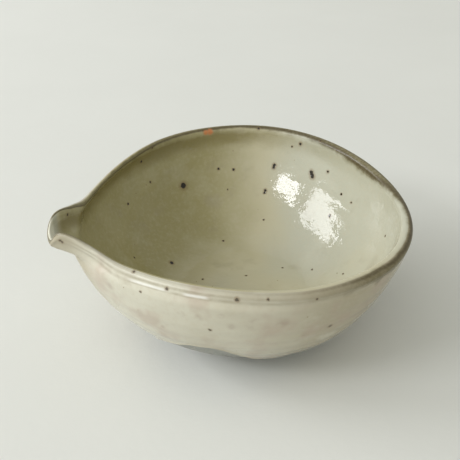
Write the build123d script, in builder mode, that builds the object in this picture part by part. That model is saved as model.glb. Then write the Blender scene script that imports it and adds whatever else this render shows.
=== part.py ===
from build123d import *
import os
from math import cos, exp, pi, radians, sin, tan

# Driving dimensions, in mm. The spout points along -X and +Z is up. The origin is the
# centre of the foot, on the table.
RIM_HEIGHT = 50.0
RIM_HALF_WIDTH = 61.0
REAR_REACH = 54.5
TIP_REACH = 73.4
WALL_FRONT_REACH = 64.6
WIDEST_X = 2.7

# The rim dips before the spout, rises to the lips and drops at the tip.
RIM_DIP = 1.1
LIP_RISE = 4.5
TIP_DROP = 1.0

# Thicknesses over both glazes. The edge is rounded, and sharper at the spout's lip.
RIM_THICKNESS = 3.4
LIP_THICKNESS = 2.0
RIM_ROUND = 0.6
GLAZE = 0.45

# The spout flares out of the wall over a short height, centred this far below the rim.
LIP_DEPTH = 3.3
FLARE_SPREAD = 0.9
FLARE_LENGTH = 8.0

# Base and foot.
BASE_RADIUS = 28.7
BASE_THICKNESS = 4.6
FLOOR_RADIUS = 24.0
FOOT_HEIGHT = 4.4
FOOT_INSET = 1.7
FOOT_WIDTH = 5.5
FOOT_ROUND = 0.7

# How far the cutting shapes run past what they cut.
OVERRUN = 5.0

# How the wall swells from the base: higher is fuller. The plan goes from a circle at the
# base to the oval of the rim by the plan power.
SIDE_FULLNESS = 1.754
REAR_FULLNESS = 1.501
FRONT_FULLNESS = 1.678
PLAN_POWER = 2.64

# Bezier handles of the back of the oval, as shares of the half width and of the back's length.
REAR_HANDLE_SHARE = 0.574
SIDE_HANDLE_SHARE = 0.654
# Control points of the pinched crest in plan, as shares of the tip's reach and of the
# half width: the handle at the side, the flank, the beak, the handle at the tip. The
# curve changes over between flank and beak.
DROP_SHARES = ((0.401, 1.0), (0.7187, 0.4049), (0.9141, 0.082), (1.0, 0.087))
DROP_CHANGE_SHARE = 0.18
# The same for the rounder front of the wall below, as shares of its own reach.
WALL_SHARES = ((0.48, 1.0), (0.774, 0.508), (0.9675, 0.2295), (1.0, 0.1475))
WALL_CHANGE_SHARE = 0.75
# Where the circle of the base changes over to the beak's part of the outline.
BEAK_ANGLE = radians(22.8)
CIRCLE_HANDLE = 4 / 3 * tan(pi / 8)

# Side view of the crest, as shares of the tip's reach and of the dip, the rise and the drop.
CREST_DIP_SHARES = ((0.300, 0.0), (0.491, 0.55), (0.640, 1.0), (0.750, 0.68))
CREST_LIP_SHARES = ((0.831, 0.467), (0.910, 1.0), (0.959, 0.756))
CREST_DROP_SHARES = ((0.994, 1.0), (1.013, 7.0))

# Heights of the lofted outlines, as shares of the wall below the flare and of the rest.
WALL_LEVEL_SHARES = (0.0, 0.014, 0.05, 0.12, 0.24, 0.41, 0.61, 0.82)
FLARE_LEVEL_SHARES = (0.0, 0.12, 0.21, 0.28, 0.335, 0.39, 0.46, 0.56, 0.70, 0.85, 1.0)

# Lower edge of the outside glaze in plan, anticlockwise from the back, as shares of the
# base's radius. It stays highest at the front left, where the clay shows.
GLAZE_EDGE_SHARES = (
    (1.22, 1.19, 1.23, 1.20, 1.22, 1.26, 1.22, 1.24, 1.28)
    + (1.33, 1.50, 1.74, 1.80, 1.44, 1.30, 1.26, 1.21, 1.24)
)

FLOOR_HEIGHT = FOOT_HEIGHT + BASE_THICKNESS
FLARE_START = RIM_HEIGHT - FLARE_LENGTH
FORM_TOP = RIM_HEIGHT + LIP_RISE + OVERRUN / 2


def mix(first, second, share):
    """The point a given share of the way from the first to the second."""
    return tuple(a * (1 - share) + b * share for a, b in zip(first, second))


def front_of_circle():
    """The front of a unit circle as control points like those of the other fronts."""
    side = 4 / 3 * tan((pi / 2 - BEAK_ANGLE) / 4)
    nose = 4 / 3 * tan(BEAK_ANGLE / 4)
    x, y = cos(BEAK_ANGLE), sin(BEAK_ANGLE)
    return (side, 1), (x - side * y, y + side * x), (x, y), (x + nose * y, y - nose * x), (1, nose)


def front_of_wall():
    """The front of the rim's oval, on the shares of its reach and half width."""
    handle, flank, beak, tip = WALL_SHARES
    return handle, flank, mix(flank, beak, WALL_CHANGE_SHARE), beak, tip


def front_of_crest(gap, lip_gap):
    """The drop-shaped front of the crest, moved outward by the gaps."""
    handle, flank, beak, tip = [(-TIP_REACH * x, RIM_HALF_WIDTH * y) for x, y in DROP_SHARES]
    run, rise = beak[0] - flank[0], beak[1] - flank[1]
    length = (run**2 + rise**2) ** 0.5
    out_x, out_y = rise / length, -run / length
    flank = (flank[0] + out_x * gap, flank[1] + out_y * gap)
    beak = (beak[0] + out_x * lip_gap, beak[1] + out_y * lip_gap)
    change = mix(flank, beak, DROP_CHANGE_SHARE)
    return (handle[0], handle[1] + gap), flank, change, beak, (tip[0] - lip_gap, tip[1] + lip_gap / 2)


def swell(reach, base_radius, share, power):
    """How far the wall reaches at a share of its height."""
    return base_radius + (reach - base_radius) * (1 - (1 - share) ** power) ** (1 / power)


def outline(height, gap, lip_gap, base_height, base_radius):
    """Control points of half a level outline, from the back round to the tip."""
    share = min(max((height - base_height) / (RIM_HEIGHT - base_height), 0), 1)
    oval = share**PLAN_POWER
    flare = 1 / (1 + exp((RIM_HEIGHT - LIP_DEPTH - height) / FLARE_SPREAD))
    side = swell(RIM_HALF_WIDTH + gap, base_radius, share, SIDE_FULLNESS)
    rear = swell(REAR_REACH + gap, base_radius, share, REAR_FULLNESS)
    front = swell(WALL_FRONT_REACH + gap, base_radius, share, FRONT_FULLNESS)
    widest = WIDEST_X * share
    rear_handle = side * (CIRCLE_HANDLE * (1 - oval) + REAR_HANDLE_SHARE * oval)
    side_handle = (rear - widest) * (CIRCLE_HANDLE * (1 - oval) + SIDE_HANDLE_SHARE * oval)
    points = [(rear, 0), (rear, rear_handle), (widest + side_handle, side), (widest, side)]
    for ring, wall, crest in zip(front_of_circle(), front_of_wall(), front_of_crest(gap, lip_gap)):
        circular = (widest - (front + widest) * ring[0], side * ring[1])
        plain = mix(circular, (-front * wall[0], side * wall[1]), oval)
        points.append(mix(plain, crest, flare))
    return points + [(points[-1][0], 0)]


def level_face(height, gap, lip_gap, base_height, base_radius):
    """The whole level outline as a face at its height."""
    half = outline(height, gap, lip_gap, base_height, base_radius)
    other = [(x, -y) for x, y in half]
    with BuildSketch(Plane.XY.offset(height)) as level:
        with BuildLine():
            Bezier(*half[0:4])
            Bezier(*half[3:7])
            Bezier(*half[6:10])
            Bezier(*reversed(other[6:10]))
            Bezier(*reversed(other[3:7]))
            Bezier(*reversed(other[0:4]))
        make_face()
    return level.sketch.face()


def bowl_form(gap, lip_gap, base_height, base_radius):
    """A solid bowl shape, taller than the rim, for the crest to be cut from."""
    wall_rise = FLARE_START - base_height
    heights = [base_height + wall_rise * share for share in WALL_LEVEL_SHARES]
    heights += [FLARE_START + (FORM_TOP - FLARE_START) * share for share in FLARE_LEVEL_SHARES]
    with BuildPart() as form:
        loft([level_face(height, gap, lip_gap, base_height, base_radius) for height in heights])
    return form.part


def under_crest(drop):
    """Everything below the side view of the crest, lowered by the drop."""
    top = RIM_HEIGHT - drop
    path = [(-TIP_REACH * x, top - RIM_DIP * share) for x, share in CREST_DIP_SHARES]
    path += [(-TIP_REACH * x, top + LIP_RISE * share) for x, share in CREST_LIP_SHARES]
    path += [(-TIP_REACH * x, top - TIP_DROP * share) for x, share in CREST_DROP_SHARES]
    reach = TIP_REACH + OVERRUN
    with BuildPart() as body:
        with BuildSketch(Plane.XZ):
            with BuildLine():
                level = Line((reach, top), path[0])
                crest = Spline(*path, tangents=((-1, 0), (0, -1)))
                Polyline(
                    crest @ 1,
                    (-reach, path[-1][1]),
                    (-reach, -OVERRUN),
                    (reach, -OVERRUN),
                    level @ 0,
                )
            make_face()
        extrude(amount=RIM_HALF_WIDTH + RIM_THICKNESS + OVERRUN, both=True)
    return body.part


def glaze_edge_points():
    """Points of the outside glaze's lower edge in plan."""
    step = 2 * pi / len(GLAZE_EDGE_SHARES)
    radii = [BASE_RADIUS * share for share in GLAZE_EDGE_SHARES]
    return [(radius * cos(step * i), radius * sin(step * i)) for i, radius in enumerate(radii)]


# The gaps from the middle line of the rim to the glazed surface and to the clay.
rim_gap, lip_gap = RIM_THICKNESS / 2, LIP_THICKNESS / 2
clay_gap, clay_lip_gap = rim_gap - GLAZE, lip_gap - GLAZE
middle = bowl_form(0, 0, (FOOT_HEIGHT + FLOOR_HEIGHT) / 2, (BASE_RADIUS + FLOOR_RADIUS) / 2)

# The bowl with its glaze on and the rim rounded, which the clay is then taken out of.
with BuildPart() as glazed_bowl:
    add(bowl_form(rim_gap, lip_gap, FOOT_HEIGHT - GLAZE, BASE_RADIUS + GLAZE))
    add(under_crest(0), mode=Mode.INTERSECT)
    add(bowl_form(-rim_gap, -lip_gap, FLOOR_HEIGHT + GLAZE, FLOOR_RADIUS - GLAZE), mode=Mode.SUBTRACT)
    upper = glazed_bowl.edges().filter_by(lambda edge: edge.bounding_box().min.Z > FLARE_START)
    fillet(upper.filter_by(lambda edge: edge.bounding_box().size.X > LIP_THICKNESS), RIM_ROUND)

# The thrown bowl, its rim pinched and pulled out into the spout.
with BuildPart() as clay_body:
    add(bowl_form(clay_gap, clay_lip_gap, FOOT_HEIGHT, BASE_RADIUS))
    add(under_crest(GLAZE), mode=Mode.INTERSECT)
    add(bowl_form(-clay_gap, -clay_lip_gap, FLOOR_HEIGHT, FLOOR_RADIUS), mode=Mode.SUBTRACT)
clay_body.part.label = "clay_body"

# The foot ring, luted face to face under the base.
with BuildPart() as foot_ring:
    with BuildSketch():
        Circle(BASE_RADIUS - FOOT_INSET)
        Circle(BASE_RADIUS - FOOT_INSET - FOOT_WIDTH, mode=Mode.SUBTRACT)
    extrude(amount=FOOT_HEIGHT)
    fillet(foot_ring.edges().group_by(Axis.Z)[0], FOOT_ROUND)
foot_ring.part.label = "foot_ring"

# The glaze poured over the inside, up to the middle of the rim.
with BuildPart() as inside_glaze:
    add(glazed_bowl.part)
    add(clay_body.part, mode=Mode.SUBTRACT)
    add(middle, mode=Mode.INTERSECT)
inside_glaze.part.label = "inside_glaze"

# The glaze dipped over the outside, down to a wavy edge that leaves the clay bare round
# the foot.
with BuildPart() as outside_glaze:
    add(glazed_bowl.part)
    add(clay_body.part, mode=Mode.SUBTRACT)
    add(middle, mode=Mode.SUBTRACT)
    with BuildSketch():
        with BuildLine():
            Spline(*glaze_edge_points(), periodic=True)
        make_face()
    extrude(amount=RIM_HEIGHT, mode=Mode.SUBTRACT)
outside_glaze.part.label = "outside_glaze"

os.makedirs("parts", exist_ok=True)
export_step(clay_body.part, "parts/clay_body.step")
export_step(foot_ring.part, "parts/foot_ring.step")
export_step(inside_glaze.part, "parts/inside_glaze.step")
export_step(outside_glaze.part, "parts/outside_glaze.step")
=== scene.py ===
import bpy
import math
import numpy as np
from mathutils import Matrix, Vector, noise
from mathutils.bvhtree import BVHTree


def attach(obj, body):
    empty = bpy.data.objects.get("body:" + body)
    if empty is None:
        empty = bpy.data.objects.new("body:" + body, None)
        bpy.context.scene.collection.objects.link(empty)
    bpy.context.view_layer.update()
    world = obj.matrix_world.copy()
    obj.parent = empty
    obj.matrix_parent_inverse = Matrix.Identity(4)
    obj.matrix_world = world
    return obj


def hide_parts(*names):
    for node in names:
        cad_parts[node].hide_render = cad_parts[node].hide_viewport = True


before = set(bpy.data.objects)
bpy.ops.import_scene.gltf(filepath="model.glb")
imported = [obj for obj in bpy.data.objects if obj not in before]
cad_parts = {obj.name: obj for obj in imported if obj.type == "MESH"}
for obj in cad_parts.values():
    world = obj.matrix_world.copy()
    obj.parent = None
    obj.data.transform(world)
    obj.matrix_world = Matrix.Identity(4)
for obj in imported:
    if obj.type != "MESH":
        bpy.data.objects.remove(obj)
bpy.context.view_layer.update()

# The bowl's named sizes in mm, as in the CAD model. TIP_REACH, LIP_RISE, TIP_DROP, the crest's
# last point and the near side of the glaze's edge were fitted to the photograph later.
RIM_HEIGHT = 50.0
RIM_HALF_WIDTH = 61.0
REAR_REACH = 54.5
TIP_REACH = 73.7
WALL_FRONT_REACH = 64.6
WIDEST_X = 2.7
RIM_DIP = 1.1
LIP_RISE = 4.46
TIP_DROP = 2.4
RIM_THICKNESS = 3.4
LIP_THICKNESS = 2.0
GLAZE = 0.45
LIP_DEPTH = 3.3
BASE_RADIUS = 28.7
BASE_THICKNESS = 4.6
FLOOR_RADIUS = 24.0
FOOT_HEIGHT = 4.4
FOOT_INSET = 1.7
FOOT_WIDTH = 5.5
SIDE_FULLNESS = 1.754
REAR_FULLNESS = 1.501
FRONT_FULLNESS = 1.678
PLAN_POWER = 2.64
REAR_HANDLE_SHARE = 0.574
SIDE_HANDLE_SHARE = 0.654
DROP_SHARES = ((0.401, 1.0), (0.7187, 0.4049), (0.9141, 0.082), (1.0, 0.087))
DROP_CHANGE_SHARE = 0.18
WALL_SHARES = ((0.48, 1.0), (0.774, 0.508), (0.9675, 0.2295), (1.0, 0.1475))
WALL_CHANGE_SHARE = 0.75
BEAK_ANGLE = math.radians(22.8)
CIRCLE_HANDLE = 4 / 3 * math.tan(math.pi / 8)
CREST_DIP_SHARES = ((0.300, 0.0), (0.491, 0.55), (0.640, 1.0), (0.750, 0.68))
CREST_LIP_SHARES = ((0.831, 0.467), (0.910, 1.0), (0.959, 0.756))
CREST_DROP_SHARES = ((0.994, 1.0), (1.013, 3.6))
GLAZE_EDGE_SHARES = (
    1.22, 1.19, 1.23, 1.20, 1.22, 1.26, 1.22, 1.24, 1.28,
    1.34, 1.56, 1.82, 1.85, 1.49, 1.30, 1.26, 1.21, 1.24,
)
FLOOR_HEIGHT = FOOT_HEIGHT + BASE_THICKNESS
MM = 0.001

# The spout flares out more sharply than in the CAD model, and lower outside than inside. Where
# the outline draws in instead, the clay does so lower than the glaze over it, so that the
# glaze keeps its thickness. The spout is pinched narrow, its nose most of all.
FLARE_SPREAD = 0.85
FLARE_EASE = 0.25
FLARE_LAG = 1.2
SHUT_LEAD_SHARE = 0.4
PINCH_HEIGHT = 44.5
PINCH_SHIFT_SHARE = 0.35
PINCH_SPREAD = 1.45
PINCH_CHANGE_SHARE = 0.3
NOSE_NARROW_SHARE = 0.42
NOSE_HEIGHTS = (46.0, 51.5)

# The near rim is rolled inward, by so much at each x and from one height to the other, in mm.
ROLL_PLACES = (-64.0, -50.0, -30.0, 0.0, 25.0, 42.0, 54.0)
ROLL_SIZES = (0.0, 1.2, 1.8, 2.0, 1.9, 1.2, 0.0)
ROLL_HEIGHTS = (37.0, 47.5)

# How deep the rim's round edge is and how far it may lean, in mm. How the surfaces are divided:
# columns of each stretch of the outline, rows that crowd toward the rim, and rings of discs.
BEAD_DEPTH = 1.5
BEAD_LEAN = 2.2
COLUMNS = ((86, 78, 44))
WALL_ROWS = 110
UNDER_ROWS = WALL_ROWS // 2
BEAD_ROWS = 12
CREST_ROW = WALL_ROWS + BEAD_ROWS
UNDER_CREST = UNDER_ROWS + BEAD_ROWS
ROW_CROWDING = 1.45
FLOOR_RINGS = 34
CLAY_RINGS = 12

# Steps between a curve's knots, where the crest's curve starts, how far from the rim's height
# the crest is looked for, in mm, and how often a search halves its stretch.
CREST_STEPS = 24
EDGE_STEPS = 12
CREST_START_SHARE = 0.1
CREST_SEARCH = 8
CREST_HALVINGS = 40
EDGE_HALVINGS = 24

# The marks of the potter's hand, in mm: throwing rings, shallower inside than outside, a groove
# under the crest, dents, lumps and pocks, and the size of the noise that shapes each. The rings'
# sway is in radians.
RING_PITCH = 5.2
RING_DEPTHS = (0.035, 0.10)
RING_FADE = (2.0, 9.0)
RING_DRIFT = 1.6
RING_SWAY = 1.3
GROOVE_PLACE = 3.9
GROOVE_SWAY = 0.5
GROOVE_WIDTH = 1.0
GROOVE_DEPTH = 0.28
GROOVE_EVEN_SHARE = 0.65
DENT_DEPTH = 0.12
LUMP_DEPTH = 0.05
POCK_DEPTH = 0.03
DENT_SIZE = 26.0
DRIFT_SIZE = 30.0
LUMP_SIZE = 9.0
GROOVE_PATCH_SIZE = 14.0
POCK_SIZE = 2.6
POCK_PATCH_SIZE = 17.0
# Stretches of noise, or of the way from inside to outside, over which marks set in.
POCK_RANGE = (0.1, 0.55)
POCK_PATCH_RANGE = (-0.3, 0.3)
RING_SIDE_RANGE = (-0.2, 0.5)
GROOVE_SIDE_RANGE = (0.0, 0.9)
POCK_SIDE_RANGE = (0.3, -0.3)

# The outside glaze's lower edge, in mm: its ripples by height, size and seed, how round and how
# raised it is, and how far up it is tinted. From OUTER_SIDE on, a side counts as outside.
EDGE_RIPPLE_RADIUS = 30.0
EDGE_RIPPLES = ((0.9, 7.0, 5), (0.35, 2.4, 6))
EDGE_ROUND = 0.6
EDGE_ROLL = 0.28
EDGE_ROLL_PLACE = 0.8
EDGE_FADE = 1.6
OUTER_SIDE = 0.99

# The foot ring's section, in mm, inside and outside: how far its sides draw in at the base and
# half way up, and how round its lower edges are. It is a little uneven.
FOOT_TOP_INSETS = (0.3, 0.15)
FOOT_MIDDLE_INSETS = (0.1, 0.05)
FOOT_EDGE_RADII = (1.2, 0.95)
FOOT_EDGE_STEPS = 7
FOOT_COLUMNS = 240
FOOT_WAVE_SIZE = 12.0
FOOT_WAVE_SHARE = 0.004

# How noise is moved for each seed.
SEED_SHIFTS = (17.3, 5.1, 9.7)

# The camera, as fitted to the photograph. Pixels are those of its 460 by 460 frame.
PHOTO_SIZE = 460
FIELD_OF_VIEW = math.radians(32.0)
CAMERA_AZIMUTH = math.radians(-21.3)
CAMERA_ELEVATION = math.radians(32.5)
CAMERA_DISTANCE = 293.0
AIM_PIXEL = (239.2, 198.7)
AIM_POINT = (-3.0, 0.0, 50.0)
FOCAL = PHOTO_SIZE / 2 / math.tan(FIELD_OF_VIEW / 2)
NEAREST_SEEN = 0.01

# Iron specks on the inside, each by its pixel and its radius in mm.
INSIDE_SPECKS = (
    (183.4, 185.7, 1.30), (311.3, 172.4, 0.90), (312.4, 176.4, 0.95), (274.4, 165.2, 0.72),
    (273.6, 167.6, 0.66), (171.6, 262.8, 0.78), (265.2, 190.4, 0.62), (264.6, 192.6, 0.55),
    (258.8, 128.5, 0.55), (300.4, 143.9, 0.62), (291.9, 146.7, 0.40), (327.8, 171.6, 0.55),
    (341.3, 194.4, 0.46), (351.2, 202.7, 0.42), (329.6, 215.9, 0.62), (337.0, 150.0, 0.42),
    (320.5, 140.8, 0.40), (233.5, 169.7, 0.48), (218.4, 168.9, 0.50), (141.3, 161.7, 0.55),
    (150.3, 182.1, 0.42), (128.1, 203.8, 0.45), (152.4, 148.0, 0.40), (227.7, 189.5, 0.32),
    (223.2, 240.9, 0.40), (202.9, 279.2, 0.40), (246.0, 275.5, 0.42), (282.3, 267.8, 0.36),
    (312.1, 269.6, 0.36), (343.1, 273.8, 0.34), (337.2, 273.2, 0.20), (263.7, 219.7, 0.36),
    (385.2, 235.8, 0.36), (134.4, 257.4, 0.36), (67.5, 214.4, 0.50), (81.9, 213.4, 0.36),
    (311.7, 174.4, 0.80),
)
OUTSIDE_SPECKS = (
    (237.0, 299.8, 0.60), (166.8, 288.7, 0.50), (133.8, 271.5, 0.50), (210.0, 330.0, 0.50),
    (330.0, 326.0, 0.62), (268.0, 299.8, 0.36), (317.0, 299.0, 0.36), (60.2, 240.8, 0.50),
    (62.0, 242.2, 0.50), (140.4, 291.8, 0.34),
)

# Along the rim, by the angle from the back, anticlockwise in degrees: where the brown line of
# thin glaze runs, in mm outside the crest, how wide and strong it is, and how strongly the
# glaze has pooled under the rim inside. On the near left the line is faint and is painted
# groove shadow, not thin glaze.
RIM_LINE_PLACE = (
    (0, -1.1), (25, -0.5), (45, 0.0), (75, 0.1), (100, -0.6), (125, -1.6), (160, -1.5), (172, -0.2),
    (184, 0.1), (190, 0.3), (205, 0.8), (250, 1.6), (275, 1.8), (300, 2.3), (325, 2.5), (345, 0.9),
)
RIM_LINE_WIDTH = (
    (0, 4.0), (25, 3.3), (45, 2.6), (75, 2.0), (100, 1.5), (125, 1.1), (160, 0.9), (172, 0.6),
    (184, 0.8), (190, 0.7), (205, 0.7), (250, 1.4), (275, 2.0), (300, 2.6), (325, 2.9), (345, 3.3),
)
RIM_LINE_STRENGTH = (
    (0, 1.0), (75, 1.0), (100, 0.9), (125, 0.85), (160, 0.8), (172, 0.9), (184, 0.9), (189, 0.6),
    (196, 0.12), (235, 0.1), (262, 0.12), (276, 0.4), (286, 0.9), (300, 1.0), (335, 1.0),
)
# Two faint grey lines of painted shade lie in the groove outside, strongest beside the spout.
GROOVE_STRENGTH = ((0, 0.0), (180, 0.1), (192, 0.7), (235, 0.8), (262, 0.45), (285, 0.2), (330, 0.0))
POOL_STRENGTH = (
    (0, 0.1), (50, 0.4), (90, 0.95), (150, 1.0), (180, 0.9), (210, 0.7), (270, 0.4), (330, 0.15),
)
# How olive or how pale the glaze is inside, by the same angle: the side towards the spout
# took the ash and is also darkened as painted shade, since its walls face away from the
# windows, and the back, which faces them, is painted paler as painted light.
ASH_AND_SHADE_INSIDE = (
    (0, -1.2), (45, -0.7), (90, 0.6), (130, 1.0), (180, 1.1), (215, 1.0), (260, 0.2), (310, -0.9),
)
# How dark the glaze is outside, by the same angle: partly smoke, mostly painted shade on the
# side away from the windows and near the spout's tip.
SMOKE_AND_SHADE_OUTSIDE = (
    (0, 1.0), (170, 0.2), (181, 0.9), (187, 0.5), (193, 0.0),
    (215, 0.0), (240, 0.3), (265, 0.75), (300, 1.1), (335, 1.1),
)
# The line drips here and there. At the spout's tip, by x in mm, there is no pool and the inside
# is painted pale as a painted highlight, and the ash, with its painted shade, sets in away from
# the middle of the floor.
DRIP_RANGE = (0.05, 0.5)
DRIP_SIZE = 4.5
DRIP_SPREAD = 0.9
TIP_RANGE = (-66.0, -71.5)
# A value that turns the tip's inside pale: a painted highlight.
TIP_PAINTED_HIGHLIGHT = -3.2
ASH_AND_SHADE_RANGE = (6.0, 48.0)

# Faint pinkish smudges outside and the orange flash on the far rim, each by pixel and radius.
SMUDGES = (
    (198.5, 317.6, 1.1), (163.0, 326.4, 0.7), (253.5, 324.5, 2.2), (180.8, 313.7, 1.1),
    (110.0, 286.0, 1.3), (232.0, 327.0, 1.3), (283.0, 323.0, 1.8), (221.0, 316.0, 0.9),
    (140.0, 312.0, 0.9), (305.0, 335.0, 1.4),
)
FLASH_SPOTS = ((206.0, 132.5, 1.1), (210.0, 132.0, 1.3))

# Colours, in linear light.
CREAM = (0.53, 0.495, 0.345)
CREAM_OUTSIDE = (0.635, 0.615, 0.515)
FROST = (0.49, 0.49, 0.40)
PALE = (0.68, 0.67, 0.56)
OLIVE = (0.21, 0.175, 0.06)
GREEN = (0.345, 0.31, 0.145)
BLUSH = (0.44, 0.34, 0.27)
ROSE = (0.30, 0.21, 0.16)
BEIGE = (0.53, 0.47, 0.35)
# Smoke's grey-brown, also used for painted shade in the groove and on the outside.
SMOKE_AND_SHADE_TONE = (0.33, 0.29, 0.205)
# A darker tone outside, used as painted shade on the side away from the windows.
SMOKY_SHADE = (0.42, 0.375, 0.265)
RIM_OLIVE = (0.155, 0.13, 0.058)
RIM_BROWN = (0.088, 0.068, 0.030)
IRON = (0.014, 0.010, 0.004)
RUST = (0.20, 0.12, 0.05)
FLASH = (0.62, 0.20, 0.06)
# The colour of a painted highlight.
PAINTED_GLINT = (0.84, 0.84, 0.80)
BODY_CLAY = (0.335, 0.34, 0.315)
FOOT_CLAY = (0.31, 0.28, 0.24)
GRAIN = (0.07, 0.05, 0.04)
GROG = (0.50, 0.47, 0.42)
FLOOR_SHADES = ((0.72, 0.73, 0.71), (0.78, 0.79, 0.77))
ROOM = (1.0, 1.0, 0.91)
DAYLIGHT = (0.97, 0.98, 1.0)

# How clouded, smoked, dark-specked and dimpled each side's glaze is.
INSIDE_LOOK = {"clouds": 0.16, "smoke": 0.30, "specks": 1.0, "dimples": 0.8}
OUTSIDE_LOOK = {"clouds": 0.5, "smoke": 0.25, "specks": 0.72, "dimples": 0.4}

# Patterns of noise: the scale per metre, the detail and the roughness.
WIDE_DRIFTS = (22.0, 2.0, 0.5)
CLOUDS = (60.0, 4.0, 0.6)
MOTTLING = (700.0, 3.0, 0.6)
KILN_SMOKE = (95.0, 3.0, 0.55)
SMUDGE_CLOUDS = (70.0, 3.0, 0.55)
STAIN_GRAIN = (150.0, 3.0, 0.6)
RAGGED = (130.0, 3.0, 0.6)
GRIT = (1100.0, 2.0, 0.6)
LINE_GRAIN = (240.0, 2.0, 0.6)
ORANGE_PEEL = (520.0, 2.0, 0.6)
SOFT_WAVES = (170.0, 2.0, 0.5)
CLAY_DRIFTS = (90.0, 4.0, 0.6)
CLAY_GRIT = (1500.0, 4.0, 0.7)
FLOOR_CLOUDS = (9.0, 4.0, 0.6)
FLOOR_GRAIN = (260.0, 4.0, 0.6)
# Scales alone, and shifts in metres.
CLAY_WAVES = 300.0
CLAY_PATCHES = 200.0
WARP_SCALE = 900.0
WARP_REACH = 0.0009
SMUDGE_SHIFT = (0.3, 0.1, 0.2)

# Steps, each from one value to another and, where they are given, with the strengths there.
CREAM_STEP = (-1.1, 0.1)
GREEN_STEP = (-0.2, 1.1)
PALE_STEP = (-1.9, -2.8)
SMOKY_SHADE_STEP = (-0.1, 1.1)
CLOUD_STEP = (0.48, 0.74)
MOTTLING_STEP = (0.42, 0.75, 0.0, 0.25)
KILN_SMOKE_STEP = (0.56, 0.76)
SMUDGE_STEP = (0.48, 0.68, 0.0, 0.48)
STAIN_STEP = (1.9, 0.2, 0.0, 0.4)
STAIN_GRAIN_STEP = (0.35, 0.62)
THIN_STEP = (1.3, 0.4)
CORE_STEP = (0.5, 0.05)
GRIT_STEP = (0.35, 0.60, 0.78, 1.0)
LINE_GRAIN_STEP = (0.3, 0.6, 0.3, 0.75)
GLINT_GROOVE_STEP = (0.35, 0.7, 0.0, 0.75)
HALO_STEP = (2.3, 0.9, 0.0, 0.5)
SPECK_STEP = (1.12, 0.72)
FLASH_STEP = (1.5, 0.4, 0.0, 0.85)
PIT_STEP = (0.0, 0.12)
GLOSS_STEP = (0.3, 0.8, 0.04, 0.09)
CLAY_ROUGH_STEP = (0.2, 0.8, 0.72, 0.92)
# By mm along the surface: the pool's upper and lower end, the rim and its duller gloss, and the
# painted glint, which lies so far below the rim.
POOL_TOP_STEP = (2.2, 4.6)
POOL_FOOT_STEP = (12.0, 5.5)
CREST_STEP = (5.0, 1.5)
CREST_PLACE = 1.0
RIM_GLOSS_STEP = (5.5, 3.0, 0.04, 0.36)
GLINT_STEP = (0.8, 0.1)
GLINT_PLACE = 4.3
# The groove's two lines, each by how far below the rim it lies and its half width.
GROOVE_LINES = ((3.1, 0.75), (4.8, 0.9))
# By place in metres: where the painted glint begins and ends, twice, where the gloss is dulled
# beside the spout, and where the far side begins.
GLINT_STRETCHES = (((-0.054, -0.050), (-0.042, -0.045)), ((-0.040, -0.038), (-0.032, -0.034)))
SPOUT_GLOSS_STEP = (-0.053, -0.057, 0.04, 0.36)
FAR_SIDE_STEP = (0.0, 0.004)

# How strongly noise moves the ash and the smoke, with the painted light and shade that they
# carry, and the ragged lines, and how strong the tints and the small heights are. A full
# height is RELIEF, in metres.
ASH_AND_SHADE_DRIFT = 2.4
SMOKE_AND_SHADE_DRIFT = 1.6
POOL_RAGGED = 5.0
LINE_RAGGED = 1.2
CORE_RAGGED = 0.5
CORE_SHIFT = 0.2
LINE_WANDER = 0.8
POOL_DARKNESS = 0.92
CREST_SMOKE_AND_SHADE = 0.6
EDGE_SMOKE = 0.6
PEEL_HEIGHT = 0.45
WAVE_HEIGHT = 0.9
PIT_HEIGHT = 0.10
DIMPLE_HEIGHT = 0.08
THIN_ROUGH = 0.22
GLAZE_IOR = 1.52
RELIEF = 0.0002

# Random specks: the scale of their cells, their size in cells, the share of cells that have one
# and how dark they are. They are full within SPECK_CORE_SHARE of their size. The far outside has
# larger ones. A place is never taken to be more than FAR_FROM_SPECKS radii from a speck.
RANDOM_SPECKS = ((160.0, 0.045, 0.42, 0.8), (75.0, 0.05, 0.35, 0.45))
SPECK_CORE_SHARE = 0.45
FAR_SPECK_SCALE = 52.0
FAR_SPECK_STEP = (0.038, 0.02)
FAR_SPECK_SHARE = 0.3
FAR_FROM_SPECKS = 9.0
PIT_SCALE = 300.0

# The bare clay's light and dark shades, its iron grains and its pale grog.
CLAY_SHADES = (0.75, 1.2)
GRAIN_SCALE = 900.0
GRAIN_STEP = (0.35, 0.15)
GRAIN_SHARE = 0.12
GRAIN_DARKNESS = 0.8
GROG_STEP = (0.4, 0.2)
GROG_SHARE = 0.12
GROG_PALENESS = 0.6
CLAY_WAVE_HEIGHT = 0.8
CLAY_RELIEF = 0.6

# The floor, in metres, and the room's glow by its middle's azimuth and elevation in degrees.
FLOOR_REACH = 6
FLOOR_ROUGH = 0.75
FLOOR_GRAIN_HEIGHT = 0.0003
FLOOR_RELIEF = 0.25
GLOW_AZIMUTH = 114.0
GLOW_ELEVATION = 36.0
GLOW_STEP = (0.1, 1.0, 0.45, 0.92)

# The windows are in a wall a metre away on the left, square to an azimuth, where 0 is behind the
# bowl and 90 on its left. Each has its two azimuths, two heights in metres and its radiance.
WALL_AZIMUTH = 105.0
WINDOWS = (
    ("long_window", 76.5, 38.0, 0.42, 0.98, 7.2),
    ("side_window", 110.0, 86.5, 0.58, 0.84, 13.0),
)


def mix(first, second, share):
    """The point a given share of the way from the first to the second."""
    return first * (1 - share) + second * share


def smooth(low, high, value):
    """0 below low, 1 above high and a smooth step between."""
    share = np.clip((value - low) / (high - low), 0, 1)
    return share * share * (3 - 2 * share)


def points_of(x, y):
    """Points from x and y, which may be arrays or single numbers."""
    return np.stack(np.broadcast_arrays(np.asarray(x, float), np.asarray(y, float)), axis=-1)


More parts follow.
